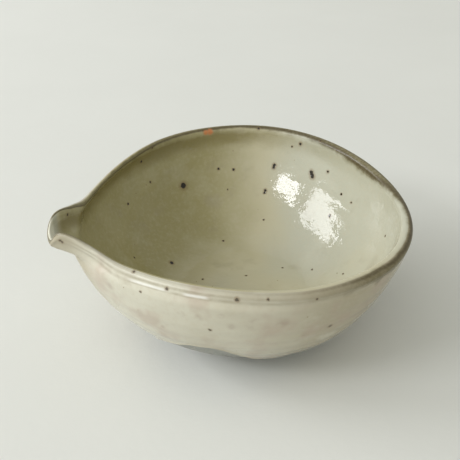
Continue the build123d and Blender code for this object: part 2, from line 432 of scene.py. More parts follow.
def bend(centre, spread, height):
    """0 well below the centre's height, 1 well above it."""
    return 1 / (1 + np.exp((centre - height) / spread))


def swell(reach, base_radius, share, power):
    """How far the wall reaches at a share of its height."""
    return base_radius + (reach - base_radius) * (1 - (1 - share) ** power) ** (1 / power)


def front_of_circle():
    """The front of a unit circle as control points like those of the other fronts."""
    side = 4 / 3 * math.tan((math.pi / 2 - BEAK_ANGLE) / 4)
    nose = 4 / 3 * math.tan(BEAK_ANGLE / 4)
    x, y = math.cos(BEAK_ANGLE), math.sin(BEAK_ANGLE)
    return (side, 1), (x - side * y, y + side * x), (x, y), (x + nose * y, y - nose * x), (1, nose)


def front_of_wall():
    """The front of the rim's oval, on the shares of its reach and half width."""
    handle, flank, beak, tip = (np.array(share) for share in WALL_SHARES)
    return handle, flank, mix(flank, beak, WALL_CHANGE_SHARE), beak, tip


def front_of_crest(height, gap, lip_gap):
    """The drop-shaped front of the crest, moved outward by the gaps. Lower down its nose is
    narrower, so that the lip's sides lean in."""
    handle, flank, beak, tip = (
        np.array((-TIP_REACH * x, RIM_HALF_WIDTH * y)) for x, y in DROP_SHARES
    )
    run, rise = beak - flank
    length = math.hypot(run, rise)
    out_x, out_y = rise / length, -run / length
    flank = points_of(flank[0] + out_x * gap, flank[1] + out_y * gap)
    beak = points_of(beak[0] + out_x * lip_gap, beak[1] + out_y * lip_gap)
    lean = mix(NOSE_NARROW_SHARE, 1.0, smooth(*NOSE_HEIGHTS, height))
    inward = points_of(0, (lean - 1) * RIM_HALF_WIDTH * DROP_SHARES[2][1])
    change = mix(flank, beak, DROP_CHANGE_SHARE)
    return (
        points_of(handle[0], handle[1] + gap),
        flank,
        change,
        beak + inward,
        points_of(tip[0] - lip_gap, tip[1] * lean + lip_gap / 2),
    )


def control_points(height, outward, gap, lip_gap, base_height, base_radius):
    """Control points of half of each level outline, from the back round to the tip. Outward is
    1 outside and -1 inside, and the gaps are how far the wall and the lip lie outside the
    middle line."""
    share = np.clip((height - base_height) / (RIM_HEIGHT - base_height), 0, 1)
    oval = share**PLAN_POWER
    spread = FLARE_SPREAD - FLARE_EASE * outward
    centre = RIM_HEIGHT - LIP_DEPTH - FLARE_LAG * lip_gap / LIP_THICKNESS
    flare = bend(centre, spread, height)
    sunk = outward * LIP_THICKNESS / 2 - lip_gap
    centre = RIM_HEIGHT - LIP_DEPTH - FLARE_LAG * outward / 2 - SHUT_LEAD_SHARE * sunk
    shut = bend(centre, spread, height)
    pinch = bend(PINCH_HEIGHT + PINCH_SHIFT_SHARE * lip_gap, PINCH_SPREAD, height)
    side = swell(RIM_HALF_WIDTH + gap, base_radius, share, SIDE_FULLNESS)
    rear = swell(REAR_REACH + gap, base_radius, share, REAR_FULLNESS)
    front = swell(WALL_FRONT_REACH + gap, base_radius, share, FRONT_FULLNESS)
    widest = WIDEST_X * share
    rear_handle = side * (CIRCLE_HANDLE * (1 - oval) + REAR_HANDLE_SHARE * oval)
    side_handle = (rear - widest) * (CIRCLE_HANDLE * (1 - oval) + SIDE_HANDLE_SHARE * oval)
    points = [
        points_of(rear, 0),
        points_of(rear, rear_handle),
        points_of(widest + side_handle, side),
        points_of(widest, side),
    ]
    crests = front_of_crest(height, gap, lip_gap)
    lengths = (shut, shut, shut, flare, flare)
    widths = (shut, shut, mix(shut, pinch, PINCH_CHANGE_SHARE), pinch, pinch)
    fronts = zip(front_of_circle(), front_of_wall(), crests, lengths, widths)
    for ring, wall, crest, in_length, in_width in fronts:
        circular = points_of(widest - (front + widest) * ring[0], side * ring[1])
        plain = mix(circular, points_of(-front * wall[0], side * wall[1]), oval[..., None])
        points.append(mix(plain, crest, np.stack([in_length, in_width], axis=-1)))
    return np.stack(points + [points_of(points[-1][..., 0], 0)])


def make_columns():
    """Bezier number, share along it and side of every column round the bowl."""
    half = [(part, i / n) for part, n in enumerate(COLUMNS) for i in range(n)] + [(2, 1.0)]
    whole = [(*place, 1) for place in half] + [(*place, -1) for place in half[-2:0:-1]]
    return tuple(np.array(values) for values in zip(*whole))


PART, ALONG, SIDE = make_columns()
COUNT = len(PART)


def surface(height, side, under):
    """Points at these heights, one column each. The side is 1 outside, -1 inside and 0 on the
    middle line, and under is how deep below the glazed surface they lie."""
    outer, cover = (1 + side) / 2, GLAZE - under
    points = control_points(
        height,
        side,
        side * (RIM_THICKNESS / 2 - under),
        side * (LIP_THICKNESS / 2 - under),
        mix(FLOOR_HEIGHT + cover, FOOT_HEIGHT - cover, outer),
        mix(FLOOR_RADIUS - cover, BASE_RADIUS + cover, outer),
    )
    share = np.broadcast_to(ALONG, height.shape)[..., None]
    weights = ((1 - share) ** 3, 3 * share * (1 - share) ** 2, 3 * share**2 * (1 - share), share**3)
    part = np.broadcast_to(PART, height.shape)[..., None]
    level = 0
    for i, weight in enumerate(weights):
        level = level + weight * np.select([part == k for k in range(3)], points[[i, i + 3, i + 6]])
    roll = np.interp(level[..., 0], ROLL_PLACES, ROLL_SIZES) * (1 - side) / 2 * (SIDE < 0)
    inward = roll * smooth(*ROLL_HEIGHTS, height)
    return np.stack([level[..., 0], level[..., 1] * SIDE + inward, height], axis=-1)


def curve_through(knots, steps):
    """A smooth line through the knots, as points."""
    knots = np.array(knots, float)
    before, after = 2 * knots[0] - knots[1], 2 * knots[-1] - knots[-2]
    knots = np.vstack([before, knots, after])
    made = []
    for a, b, c, d in zip(knots, knots[1:], knots[2:], knots[3:]):
        for t in np.arange(steps) / steps:
            ahead, back = (c - a) / 2, (d - b) / 2
            made.append(
                b * (2 * t**3 - 3 * t**2 + 1)
                + c * (3 * t**2 - 2 * t**3)
                + ahead * (t**3 - 2 * t**2 + t)
                + back * (t**3 - t**2)
            )
    return np.array(made + [knots[-2]])


def crest_curve():
    """Side view of the crest, as points from the tip to the level part."""
    path = [(-TIP_REACH * x, RIM_HEIGHT - RIM_DIP * share) for x, share in CREST_DIP_SHARES]
    path += [(-TIP_REACH * x, RIM_HEIGHT + LIP_RISE * share) for x, share in CREST_LIP_SHARES]
    path += [(-TIP_REACH * x, RIM_HEIGHT - TIP_DROP * share) for x, share in CREST_DROP_SHARES]
    return curve_through([(-TIP_REACH * CREST_START_SHARE, RIM_HEIGHT)] + path, CREST_STEPS)[::-1]


CREST = crest_curve()


def crest_heights(side, under):
    """Where each column meets the crest, found by halving."""
    low, high = (np.full(COUNT, RIM_HEIGHT + way) for way in (-CREST_SEARCH, CREST_SEARCH))
    for _ in range(CREST_HALVINGS):
        middle = (low + high) / 2
        x = surface(middle, np.full(COUNT, side), under)[..., 0]
        above = middle > np.interp(x, CREST[:, 0], CREST[:, 1]) - under
        low, high = np.where(above, low, middle), np.where(above, middle, high)
    return middle


def top_of(under):
    """Crest heights on the outside, the middle and the inside. The rim's edge is kept from
    leaning more than its own roundness."""
    outside, middle, inside = (crest_heights(side, under) for side in (1.0, 0.0, -1.0))
    low, high = middle - BEAD_LEAN, middle + BEAD_LEAN
    return np.clip(outside, low, high), middle, np.clip(inside, low, high)


def profile(under, foot, wall_rows):
    """Heights, sides and depths below the crest of the whole wall's rows: up the outside from
    the foot height, over the rim and down the inside."""
    outside, middle, inside = top_of(under)
    depth = BEAD_DEPTH - under / 2
    climb = (np.arange(wall_rows) / wall_rows)[:, None] ** ROW_CROWDING
    turn = np.linspace(0, math.pi, 2 * BEAD_ROWS + 1)[:, None]
    side = np.cos(turn)
    lean = middle + side * (outside - inside) / 2 + side**2 * ((outside + inside) / 2 - middle)
    floor = FLOOR_HEIGHT + GLAZE - under
    height = np.vstack(
        [
            mix(foot, outside - depth, climb),
            lean - depth * (1 - np.sin(turn)),
            mix(floor, inside - depth, climb[::-1]),
        ]
    )
    ones = np.ones((wall_rows, 1))
    side = np.broadcast_to(np.vstack([ones, side, -ones]), height.shape)
    return height, side, np.maximum(middle - height, 0)


def normals_of(points):
    """Unit normals of a grid that closes round the bowl, pointing out of the clay."""
    around = np.roll(points, -1, axis=1) - np.roll(points, 1, axis=1)
    normal = np.cross(around, np.gradient(points, axis=0))
    return normal / np.maximum(np.linalg.norm(normal, axis=-1, keepdims=True), 1e-9)


def noise_at(points, scale, seed):
    """Smooth noise from about -1 to 1 at points in mm, with features of the scale's size."""
    shift = Vector([seed * way for way in SEED_SHIFTS])
    flat = points.reshape(-1, 3) / scale
    return np.array([noise.noise(Vector(p) + shift) for p in flat]).reshape(points.shape[:-1])


def wobble(points, drop, side):
    """How far the potter's hand left the surface under its plain form, in mm. The outside has
    a groove under the rim, and both sides have throwing rings."""
    slow = noise_at(points, DENT_SIZE, seed=1)
    drift = points[..., 2] + RING_DRIFT * noise_at(points, DRIFT_SIZE, seed=2)
    rings = 0.5 + 0.5 * np.sin(drift * 2 * math.pi / RING_PITCH + RING_SWAY * slow)
    away = smooth(*RING_FADE, drop)
    lump = 0.5 - 0.5 * noise_at(points, LUMP_SIZE, seed=4)
    groove = np.exp(-(((drop - GROOVE_PLACE - GROOVE_SWAY * slow) / GROOVE_WIDTH) ** 2))
    groove *= smooth(*GROOVE_SIDE_RANGE, side)
    patchy = noise_at(points, GROOVE_PATCH_SIZE, seed=3)
    groove *= GROOVE_EVEN_SHARE + (1 - GROOVE_EVEN_SHARE) * patchy
    ring_depth = mix(*RING_DEPTHS, smooth(*RING_SIDE_RANGE, side))
    pock = smooth(*POCK_RANGE, noise_at(points, POCK_SIZE, seed=8))
    pock *= smooth(*POCK_PATCH_RANGE, noise_at(points, POCK_PATCH_SIZE, seed=9))
    made = DENT_DEPTH * (0.5 - 0.5 * slow) + ring_depth * rings * away + LUMP_DEPTH * lump * away
    pock_depth = POCK_DEPTH * pock * away * smooth(*POCK_SIDE_RANGE, side)
    return -(made + GROOVE_DEPTH * groove + pock_depth)


def worked(points, drop, side):
    """The points with the potter's wobble, and their normals."""
    points = points + normals_of(points) * wobble(points, drop, side)[..., None]
    return points, normals_of(points)


def glaze_edge_radius(angle):
    """How far out the outside glaze ends at each angle, with small ripples."""
    step = 2 * math.pi / len(GLAZE_EDGE_SHARES)
    count = len(GLAZE_EDGE_SHARES)
    closed = [((i - 1) * step, GLAZE_EDGE_SHARES[(i - 1) % count]) for i in range(count + 3)]
    line = curve_through(closed, EDGE_STEPS)
    radius = BASE_RADIUS * np.interp(angle % (2 * math.pi), line[:, 0], line[:, 1])
    ring = EDGE_RIPPLE_RADIUS * np.stack([np.cos(angle), np.sin(angle), 0 * angle], axis=-1)
    for height, size, seed in EDGE_RIPPLES:
        radius = radius + height * noise_at(ring, size, seed)
    return radius


def glaze_edge_heights():
    """Height of the outside glaze's lower edge in each column, found by halving."""
    low, high = np.full(COUNT, FOOT_HEIGHT), np.full(COUNT, RIM_HEIGHT / 2)
    for _ in range(EDGE_HALVINGS):
        middle = (low + high) / 2
        x, y = np.moveaxis(surface(middle, np.ones(COUNT), GLAZE), -1, 0)[:2]
        beyond = np.hypot(x, y) > glaze_edge_radius(np.arctan2(y, x))
        low, high = np.where(beyond, low, middle), np.where(beyond, middle, high)
    return middle


def in_scene(name, data):
    """A new object in the scene."""
    made = bpy.data.objects.new(name, data)
    bpy.context.scene.collection.objects.link(made)
    return made


def new_object(name, points, faces, normals=None, values=()):
    """A smooth object from points in mm."""
    mesh = bpy.data.meshes.new(name)
    mesh.from_pydata((np.asarray(points) * MM).tolist(), [], faces)
    mesh.polygons.foreach_set("use_smooth", [True] * len(mesh.polygons))
    for key, value in values:
        attribute = mesh.attributes.new(key, "FLOAT", "POINT")
        attribute.data.foreach_set("value", np.asarray(value, np.float32).ravel())
    if normals is not None:
        mesh.normals_split_custom_set_from_vertices(np.asarray(normals).tolist())
    return in_scene(name, mesh)


def turned(name, rows, normals=None, poles=(None, None), values=()):
    """A closed object from rows round the bowl. It closes at the two poles, or, without
    them, from the last row to the first."""
    count = rows.shape[1]
    points = rows.reshape(-1, 3)
    steps = [(i, (i + 1) % count) for i in range(count)]
    faces = []
    for row in range(len(rows) if poles[0] is None else len(rows) - 1):
        a, b = row * count, (row + 1) % len(rows) * count
        faces += [(a + i, a + j, b + j, b + i) for i, j in steps]
    lists = [(key, np.asarray(value).ravel()) for key, value in values]
    if normals is not None:
        normals = normals.reshape(-1, 3)
    for pole, row, down in ((poles[0], 0, True), (poles[1], len(rows) - 1, False)):
        if pole is None:
            continue
        hub, a = len(points), row * count
        points = np.vstack([points, pole[0]])
        if normals is not None:
            normals = np.vstack([normals, pole[1]])
        lists = [(key, np.append(value, value[a])) for key, value in lists]
        faces += [(hub, a + j, a + i) if down else (a + i, a + j, hub) for i, j in steps]
    return new_object(name, points, faces, normals, lists)


def toward(row, height, rings):
    """Rows that shrink from a row to its middle, without the pole itself."""
    middle = np.array([0.0, 0.0, height])
    shares = (1 - np.arange(1, rings) / rings)[:, None, None]
    return middle + (row - middle)[None] * shares


def exposed_glaze(edge):
    """The exposed glaze in one grid over both sides, so that both glazes share their normals:
    its plain form, its worked points, their normals and how near each is to the lower edge,
    where the glaze thins out behind a small roll."""
    height, side, drop = profile(0.0, edge, WALL_ROWS)
    climbed = np.where(side > OUTER_SIDE, height - edge, RIM_HEIGHT)
    taper = np.sqrt(1 - (1 - np.clip(climbed / EDGE_ROUND, 0, 1)) ** 2)
    roll = EDGE_ROLL * np.exp(-(((climbed - EDGE_ROLL_PLACE) / EDGE_ROUND) ** 2)) * taper
    plain = surface(height, side, GLAZE * (1 - taper))
    floor_rows = toward(plain[-1], FLOOR_HEIGHT + GLAZE, FLOOR_RINGS)
    on_floor = floor_rows.shape[:2]
    plain = np.vstack([plain, floor_rows])
    drop = np.vstack([drop, np.broadcast_to(drop[-1], on_floor)])
    side = np.vstack([side, np.broadcast_to(side[-1], on_floor)])
    plain[: len(roll)] += normals_of(plain)[: len(roll)] * roll[..., None]
    near_edge = np.vstack([np.exp(-climbed / EDGE_FADE), np.zeros(on_floor)])
    return plain, *worked(plain, drop, side), near_edge


def round_rim(angle, stations):
    """A value given at some angles round the rim, in degrees, and changing evenly between."""
    places = [a for a, _ in stations]
    values = [v for _, v in stations]
    places = [places[-1] - 360] + places + [places[0] + 360]
    return np.interp(np.degrees(angle) % 360, places, [values[-1]] + values + [values[0]])


def glaze_masks(plain, near_edge):
    """The values at each point that the glaze's colours follow, by name. Beyond is how far
    outside the crest a point lies along the surface, in mm, negative inside, and rim_line is
    how far it is from the brown line that the thin glaze leaves, in that line's widths; on the
    near left that line is faint and is painted groove shadow."""
    step = np.linalg.norm(np.diff(plain, axis=0), axis=-1)
    run = np.vstack([np.zeros(COUNT), np.cumsum(step, axis=0)])
    beyond = run[CREST_ROW] - run
    crest = plain[CREST_ROW]
    angle = np.arctan2(crest[:, 1], crest[:, 0])

    def along_rim(stations):
        return np.broadcast_to(round_rim(angle, stations), beyond.shape)

    line_at = along_rim(RIM_LINE_PLACE)
    drips = smooth(*DRIP_RANGE, noise_at(crest, DRIP_SIZE, seed=11)) * (beyond > line_at)
    line_width = along_rim(RIM_LINE_WIDTH) * (1 + DRIP_SPREAD * drips)
    at_tip = smooth(*TIP_RANGE, plain[..., 0])
    away = smooth(*ASH_AND_SHADE_RANGE, np.hypot(plain[..., 0], plain[..., 1]))
    # The ash and smoke masks also lay painted light and shade: darker where walls face away from the
    # windows, paler on the inside of the back and in the spout's tip.
    return {
        "beyond": beyond,
        "rim_line": (beyond - line_at) / line_width,
        "line_strength": along_rim(RIM_LINE_STRENGTH),
        "pool": along_rim(POOL_STRENGTH) * (1 - at_tip),
        "ash_and_shade": mix(along_rim(ASH_AND_SHADE_INSIDE) * away, TIP_PAINTED_HIGHLIGHT, at_tip),
        "smoke_and_shade": along_rim(SMOKE_AND_SHADE_OUTSIDE),
        "grooved": along_rim(GROOVE_STRENGTH),
        "edge": near_edge,
    }


def clay_form():
    """The clay's surface under the glaze, as one closed grid from the base to the floor."""
    height, side, drop = profile(GLAZE, np.full(COUNT, FOOT_HEIGHT), UNDER_ROWS)
    rows = surface(height, side, GLAZE)
    base_rows = toward(rows[0], FOOT_HEIGHT, CLAY_RINGS)[::-1]
    floor_rows = toward(rows[-1], FLOOR_HEIGHT, CLAY_RINGS)
    flat = np.ones((CLAY_RINGS - 1, COUNT))
    return worked(
        np.vstack([base_rows, rows, floor_rows]),
        np.vstack([flat * RIM_HEIGHT, drop, flat * RIM_HEIGHT]),
        np.vstack([flat, side, -flat]),
    )


def poles(low, high):
    """The points on the axis that close a piece, and their normals."""
    return ((0, 0, low), (0, 0, -1)), ((0, 0, high), (0, 0, 1))


def masks_on(rows, before=0, after=0):
    """The masks of some rows of the face, with zeros for the rows of the back."""
    return [(key, np.pad(value[rows], ((before, after), (0, 0)))) for key, value in masks.items()]


edge = glaze_edge_heights()
plain, face, face_normals, near_edge = exposed_glaze(edge)
masks = glaze_masks(plain, near_edge)
clay, clay_normals = clay_form()
under_height, under_side, under_drop = profile(GLAZE, edge, UNDER_ROWS)
under, under_normals = worked(surface(under_height, under_side, GLAZE), under_drop, under_side)

# The coat ends at the crest and goes back down its underside. The lining is closed the same
# way, from the middle of its underside.
outer, outer_back = slice(None, CREST_ROW + 1), slice(UNDER_CREST, None, -1)
inner, inner_back = slice(CREST_ROW, None), slice(None, UNDER_CREST - 1, -1)
coat = turned(
    "glaze_coat",
    np.vstack([face[outer], under[outer_back]]),
    np.vstack([face_normals[outer], -under_normals[outer_back]]),
    values=masks_on(outer, after=UNDER_CREST + 1),
)
lining = turned(
    "glaze_lining",
    np.vstack([under[inner_back], face[inner]]),
    np.vstack([-under_normals[inner_back], face_normals[inner]]),
    poles(FLOOR_HEIGHT, face[-1, :, 2].mean()),
    masks_on(inner, before=len(under) - UNDER_CREST),
)
bowl = turned(
    "thrown_bowl", clay, clay_normals, poles(clay[0, :, 2].mean(), clay[-1, :, 2].mean())
)


def foot_ring():
    """The foot ring, turned with soft edges, its sides drawn in a little toward the base."""
    outer, inner = BASE_RADIUS - FOOT_INSET, BASE_RADIUS - FOOT_INSET - FOOT_WIDTH
    section = [
        (outer - FOOT_TOP_INSETS[1], FOOT_HEIGHT),
        (inner + FOOT_TOP_INSETS[0], FOOT_HEIGHT),
        (inner + FOOT_MIDDLE_INSETS[0], FOOT_HEIGHT / 2),
    ]
    near, far = FOOT_EDGE_RADII
    for middle, radius, start in ((inner + near, near, math.pi), (outer - far, far, math.pi * 1.5)):
        for i in range(FOOT_EDGE_STEPS + 1):
            turn = start + math.pi / 2 * i / FOOT_EDGE_STEPS
            section.append((middle + radius * math.cos(turn), radius + radius * math.sin(turn)))
    section.append((outer - FOOT_MIDDLE_INSETS[1], FOOT_HEIGHT / 2))
    angles = np.arange(FOOT_COLUMNS) * 2 * math.pi / FOOT_COLUMNS
    rows = []
    for radius, level in section:
        ring = np.stack([radius * np.cos(angles), radius * np.sin(angles), 0 * angles + level], -1)
        share = 1 - abs(level / FOOT_HEIGHT - 0.5) * 2
        uneven = 1 + FOOT_WAVE_SHARE * noise_at(ring, FOOT_WAVE_SIZE, seed=7) * share
        rows.append(ring * uneven[:, None] * (1, 1, 0) + ring * (0, 0, 1))
    return turned("turned_foot", np.array(rows))


ring = foot_ring()

pieces = (
    (coat, "outside_glaze", "glaze_outside"),
    (lining, "inside_glaze", "glaze_inside"),
    (bowl, "clay_body", "clay"),
    (ring, "foot_ring", "foot"),
)
for piece, node_name, slot_name in pieces:
    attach(piece, "root")
    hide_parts(node_name)

# The camera's axes and place, where its aim pixel shows the aim point.
across, along = math.cos(CAMERA_AZIMUTH), math.sin(CAMERA_AZIMUTH)
level, lift = math.cos(CAMERA_ELEVATION), math.sin(CAMERA_ELEVATION)
BACK = Vector((along * level, -across * level, lift))
RIGHT = Vector((across, along, 0))
UP = BACK.cross(RIGHT)
aim_x = (AIM_PIXEL[0] - PHOTO_SIZE / 2) / FOCAL * CAMERA_DISTANCE
aim_y = (PHOTO_SIZE / 2 - AIM_PIXEL[1]) / FOCAL * CAMERA_DISTANCE
EYE = (Vector(AIM_POINT) + CAMERA_DISTANCE * BACK - aim_x * RIGHT - aim_y * UP) * MM


def ray(px, py):
    """Direction from the camera through a pixel of the photograph."""
    across, up = px - PHOTO_SIZE / 2, PHOTO_SIZE / 2 - py
    return (across * RIGHT + up * UP - FOCAL * BACK).normalized()


def placed(obj, specks):
    """The points of an object that the specks' pixels show, in metres, with their radii."""
    corners = [v.co for v in obj.data.vertices]
    tree = BVHTree.FromPolygons(corners, [p.vertices for p in obj.data.polygons])
    found = [(tree.ray_cast(EYE, ray(px, py))[0], radius) for px, py, radius in specks]
    return [(point, radius) for point, radius in found if point is not None]


camera_data = bpy.data.cameras.new("camera")
camera_data.lens = camera_data.sensor_width / 2 / math.tan(FIELD_OF_VIEW / 2)
camera_data.clip_start = NEAREST_SEEN
camera = in_scene("camera", camera_data)
camera.location = EYE
camera.rotation_mode = "QUATERNION"
camera.rotation_quaternion = (-BACK).to_track_quat("-Z", "Y")
bpy.context.scene.camera = camera


class Shader:
    """The nodes of a material or of the world, made one call at a time."""

    def __init__(self, owner):
        owner.use_nodes = True
        self.tree = owner.node_tree
        self.tree.nodes.clear()

    def put(self, socket, value):
        """Links an output to the socket, or sets a plain value."""
        if isinstance(value, bpy.types.NodeSocket):
            self.tree.links.new(value, socket)
        else:
            socket.default_value = value

    def node(self, kind, inputs=(), **settings):
        """A node of this kind with its inputs, by name or by number, and its settings."""
        made = self.tree.nodes.new("ShaderNode" + kind)
        for key, value in settings.items():
            setattr(made, key, value)
        for key, value in dict(inputs).items():
            self.put(made.inputs[key], value)
        return made

    def math(self, operation, *values):
        """The result of an operation on numbers."""
        return self.node("Math", enumerate(values), operation=operation).outputs[0]

    def times(self, first, second):
        """The product of two numbers."""
        return self.math("MULTIPLY", first, second)

    def off(self, value, middle):
        """How far a value is from the middle, either way."""
        return self.math("ABSOLUTE", self.math("SUBTRACT", value, middle))

    def vector(self, operation, *values):
        """The result of an operation on places."""
        made = self.node("VectorMath", enumerate(values), operation=operation)
        return made.outputs["Value" if operation in ("DISTANCE", "DOT_PRODUCT") else "Vector"]

    def step(self, value, low, high, first=0.0, last=1.0):
        """A smooth step of value, from first at low to last at high."""
        ends = {"From Min": low, "From Max": high, "To Min": first, "To Max": last}
        made = self.node("MapRange", {"Value": value, **ends}, interpolation_type="SMOOTHSTEP")
        return made.outputs["Result"]

    def mix(self, share, first, second):
        """A colour between two, by a share."""
        first, second = ((*c, 1.0) if isinstance(c, tuple) else c for c in (first, second))
        made = self.node("Mix", {0: share, 6: first, 7: second}, data_type="RGBA")
        return made.outputs[2]

    def noise(self, place, scale, detail=2.0, roughness=0.5):
        """Smooth noise from 0 to 1. The scale is per metre."""
        inputs = {"Vector": place, "Scale": scale, "Detail": detail, "Roughness": roughness}
        return self.node("TexNoise", inputs).outputs["Fac"]

    def cells(self, place, scale):
        """Distance from the middle of the nearest random cell, and that cell's random colour."""
        made = self.node("TexVoronoi", {"Vector": place, "Scale": scale})
        colour = self.node("SeparateColor", {"Color": made.outputs["Color"]})
        return made.outputs["Distance"], colour.outputs

    def mask(self, name):
        """One of the values that the mesh holds at each point."""
        return self.node("Attribute", attribute_name=name).outputs["Fac"]

    def end(self, colour, rough, height, depth, strength):
        """Ends a material with a surface of this colour, roughness and bump."""
        bump = self.node("Bump", {"Height": height, "Distance": depth, "Strength": strength})
        inputs = {"Base Color": colour, "Roughness": rough, "Normal": bump.outputs[0]}
        made = self.node("BsdfPrincipled", inputs)
        self.node("OutputMaterial", {"Surface": made.outputs[0]})
        return made


def speck_field(s, place, specks):
    """How far a place is from the nearest speck, in that speck's radii."""
    nearest = FAR_FROM_SPECKS
    for point, radius in specks:
        away = s.times(s.vector("DISTANCE", place, tuple(point)), 1 / (radius * MM))
        nearest = s.math("MINIMUM", away, nearest)
    return nearest


def glaze_ground(s, wide, inside):
    """The glaze's colour, with painted light and shade laid in. Inside it follows the ash, which
    also darkens the walls facing away from the windows and lightens the back and the spout's
    tip; outside it follows the smoke, which also darkens the side away from the windows.
    """
    drift = s.math("SUBTRACT", wide, 0.5)
    if inside:
        ash_and_shade = s.math("MULTIPLY_ADD", drift, ASH_AND_SHADE_DRIFT, s.mask("ash_and_shade"))
        colour = s.mix(s.step(ash_and_shade, *CREAM_STEP), FROST, CREAM)
        colour = s.mix(s.step(ash_and_shade, *GREEN_STEP), colour, GREEN)
        return s.mix(s.step(ash_and_shade, *PALE_STEP), colour, PALE)
    smoke_and_shade = s.math("MULTIPLY_ADD", drift, SMOKE_AND_SHADE_DRIFT, s.mask("smoke_and_shade"))
    return s.mix(s.step(smoke_and_shade, *SMOKY_SHADE_STEP), CREAM_OUTSIDE, SMOKY_SHADE)


def smoked(s, place, colour, smudges):
    """Pinkish smudges and stains from the kiln, outside."""
    clouds = s.noise(s.vector("ADD", place, SMUDGE_SHIFT), *SMUDGE_CLOUDS)
    colour = s.mix(s.step(clouds, *SMUDGE_STEP), colour, BLUSH)
    stain = s.step(speck_field(s, place, smudges), *STAIN_STEP)
    stain = s.times(stain, s.step(s.noise(place, *STAIN_GRAIN), *STAIN_GRAIN_STEP))
    return s.mix(stain, colour, ROSE)


def rim_line(s, place, colour, ragged):
    """Brown and olive where the glaze ran thin on the rim and the clay shows through; on the near
    left the faint line is painted groove shadow. Gives the colour and how thin the glaze is."""
    line, strength = s.mask("rim_line"), s.mask("line_strength")
    grit = s.step(s.noise(place, *GRIT), *GRIT_STEP)
    wander = s.math("MULTIPLY_ADD", ragged, LINE_RAGGED, -LINE_RAGGED / 2)
    off = s.math("ABSOLUTE", s.math("ADD", line, wander))
    thin = s.times(s.step(off, *THIN_STEP), strength)
    colour = s.mix(s.times(thin, grit), colour, RIM_OLIVE)
    wander = s.math("MULTIPLY_ADD", ragged, CORE_RAGGED, s.math("ADD", line, CORE_SHIFT))
    core = s.times(s.step(s.math("ABSOLUTE", wander), *CORE_STEP), strength)
    return s.mix(s.times(core, grit), colour, RIM_BROWN), thin


def grooved(s, place, colour, below_rim, along):
    """Two grey lines of painted shade in the groove under the near rim, a painted highlight where
    its lower edge would catch the light beside the spout, and smoke on the outside glaze's lower
    edge."""
    groove = s.mask("grooved")
    # The grey lines are painted shade in the groove.
    for below, breadth in GROOVE_LINES:
        line = s.times(s.step(s.off(below_rim, below), breadth, 0.0), groove)
        faint = s.step(s.noise(place, *LINE_GRAIN), *LINE_GRAIN_STEP)
        colour = s.mix(s.times(line, faint), colour, SMOKE_AND_SHADE_TONE)
    colour = s.mix(s.times(s.mask("edge"), EDGE_SMOKE), colour, SMOKE_AND_SHADE_TONE)
    # A painted highlight: a pale strip in the colour where the groove's lower edge would catch the
    # windows' light.
    glint = s.step(s.off(below_rim, GLINT_PLACE), *GLINT_STEP)
    glint = s.times(glint, s.step(groove, *GLINT_GROOVE_STEP))
    first, second = (
        s.times(s.step(along, *start), s.step(along, *end)) for start, end in GLINT_STRETCHES
    )
    return s.mix(s.times(glint, s.math("ADD", first, second)), colour, PAINTED_GLINT)


def random_specks(s, place, colour, across):
    """Fine and faint specks at random. Given a coordinate across the bowl, the far side, which
    the photograph doesn't show, has larger ones."""
    for scale, size, some, strength in RANDOM_SPECKS:
        distance, random = s.cells(place, scale)
        chosen = s.math("LESS_THAN", random[0], some)
        spot = s.times(s.step(distance, size, size * SPECK_CORE_SHARE), chosen)
        colour = s.mix(s.times(spot, strength), colour, RUST)
    if across is None:
        return colour
    distance, random = s.cells(place, FAR_SPECK_SCALE)
    chosen = s.math("LESS_THAN", random[1], FAR_SPECK_SHARE)
    spot = s.times(s.step(distance, *FAR_SPECK_STEP), chosen)
    return s.mix(s.times(spot, s.step(across, *FAR_SIDE_STEP)), colour, IRON)


